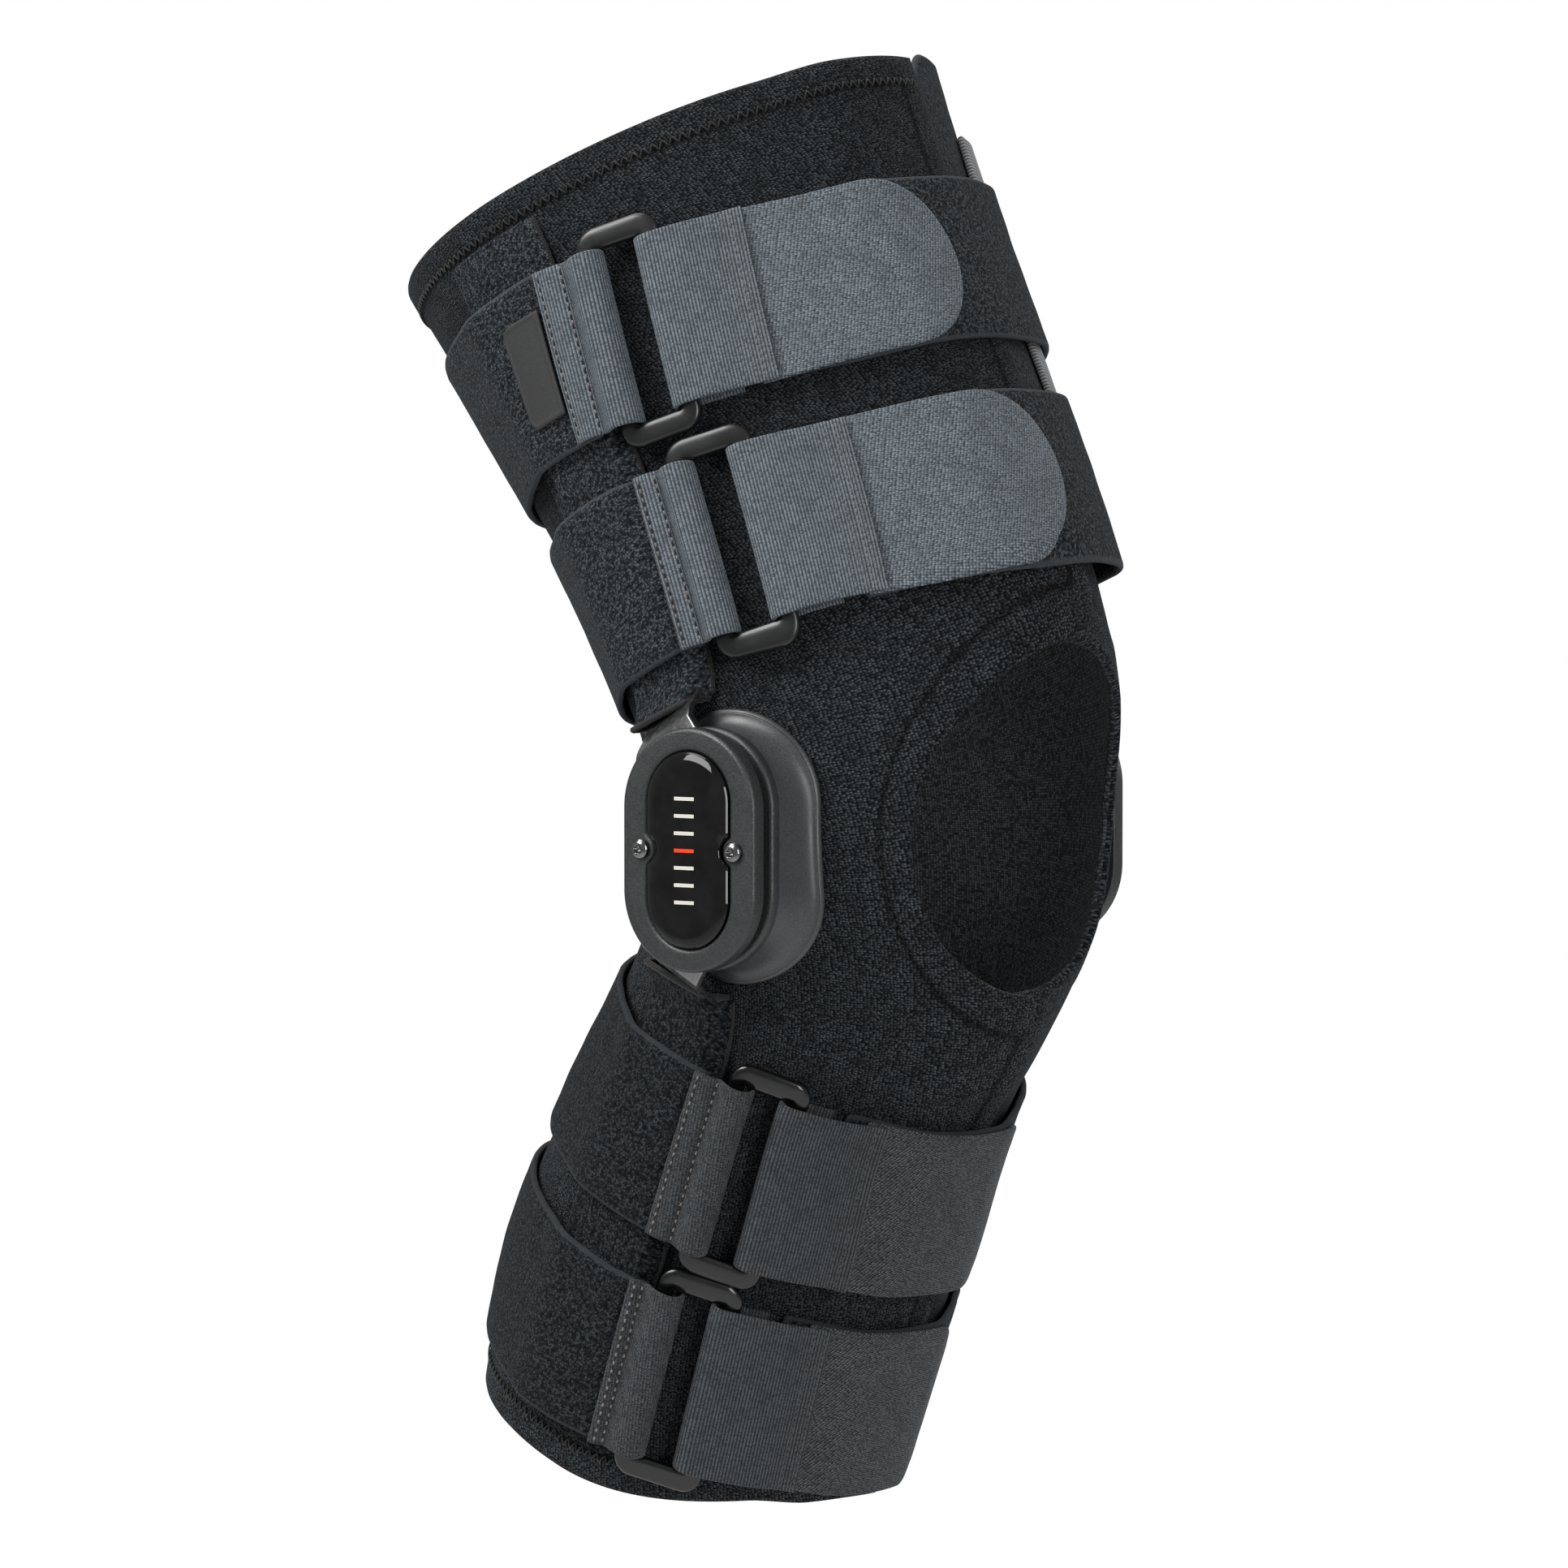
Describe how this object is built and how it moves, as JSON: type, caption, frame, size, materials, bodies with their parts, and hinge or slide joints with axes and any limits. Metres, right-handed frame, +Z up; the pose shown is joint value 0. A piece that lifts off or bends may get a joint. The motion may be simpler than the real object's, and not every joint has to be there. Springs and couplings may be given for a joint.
{
  "type": "hinged knee brace",
  "caption": "Wrap-round knee sleeve with an open kneecap, hinged side arms in pockets, and hook-and-loop straps that close through plastic rings.",
  "frame": {"origin": "middle of the knee, on the axis through both hinges", "axes": "+X to the front of the knee, +Z up with the thigh above the shank, -Y to the outer side of the leg"},
  "size_m": [0.2197, 0.1872, 0.4121],
  "materials": {
    "knit": "black loop knit bonded to foam, matt",
    "plush": "black brushed loop pile",
    "webbing": "grey ribbed elastic webbing",
    "hook_tape": "grey hook tape with a fine grained back",
    "ribbed_elastic": "light grey elastic with crosswise ribs",
    "ring_plastic": "satin black moulded plastic",
    "hinge_plastic": "fine textured dark grey plastic",
    "badge_gloss": "clear-domed gloss black",
    "arm_metal": "black coated aluminium bar",
    "screw_metal": "black oxide steel",
    "label_rubber": "soft grey rubber, bare"
  },
  "bodies": {
    "root": {"sleeve": "knit", "thigh_closure_flap": "plush", "thigh_closure_strip": "ribbed_elastic", "outer_thigh_pocket": "plush", "outer_calf_pocket": "plush", "outer_hinge_pad": "hinge_plastic", "outer_hinge_plate": "hinge_plastic", "outer_hinge_upper_arm": "arm_metal", "outer_hinge_lower_arm": "arm_metal", "outer_hinge_cover": "hinge_plastic", "outer_hinge_badge": "badge_gloss", "outer_hinge_screw_front": "screw_metal", "outer_hinge_screw_back": "screw_metal", "inner_thigh_pocket": "plush", "inner_calf_pocket": "plush", "inner_hinge_pad": "hinge_plastic", "inner_hinge_plate": "hinge_plastic", "inner_hinge_upper_arm": "arm_metal", "inner_hinge_lower_arm": "arm_metal", "inner_hinge_cover": "hinge_plastic", "inner_hinge_badge": "badge_gloss", "inner_hinge_screw_front": "screw_metal", "inner_hinge_screw_back": "screw_metal", "thigh_upper_band": "plush", "thigh_upper_ring": "ring_plastic", "thigh_upper_keeper": "webbing", "thigh_upper_elastic": "webbing", "thigh_upper_hook_tab": "hook_tape", "thigh_lower_band": "plush", "thigh_lower_ring": "ring_plastic", "thigh_lower_keeper": "webbing", "thigh_lower_elastic": "webbing", "thigh_lower_hook_tab": "hook_tape", "calf_upper_band": "plush", "calf_upper_ring": "ring_plastic", "calf_upper_keeper": "webbing", "calf_upper_elastic": "webbing", "calf_upper_hook_tab": "hook_tape", "calf_lower_band": "plush", "calf_lower_ring": "ring_plastic", "calf_lower_keeper": "webbing", "calf_lower_elastic": "webbing", "calf_lower_hook_tab": "hook_tape", "thigh_upper_label": "label_rubber"}
  },
  "joints": []
}
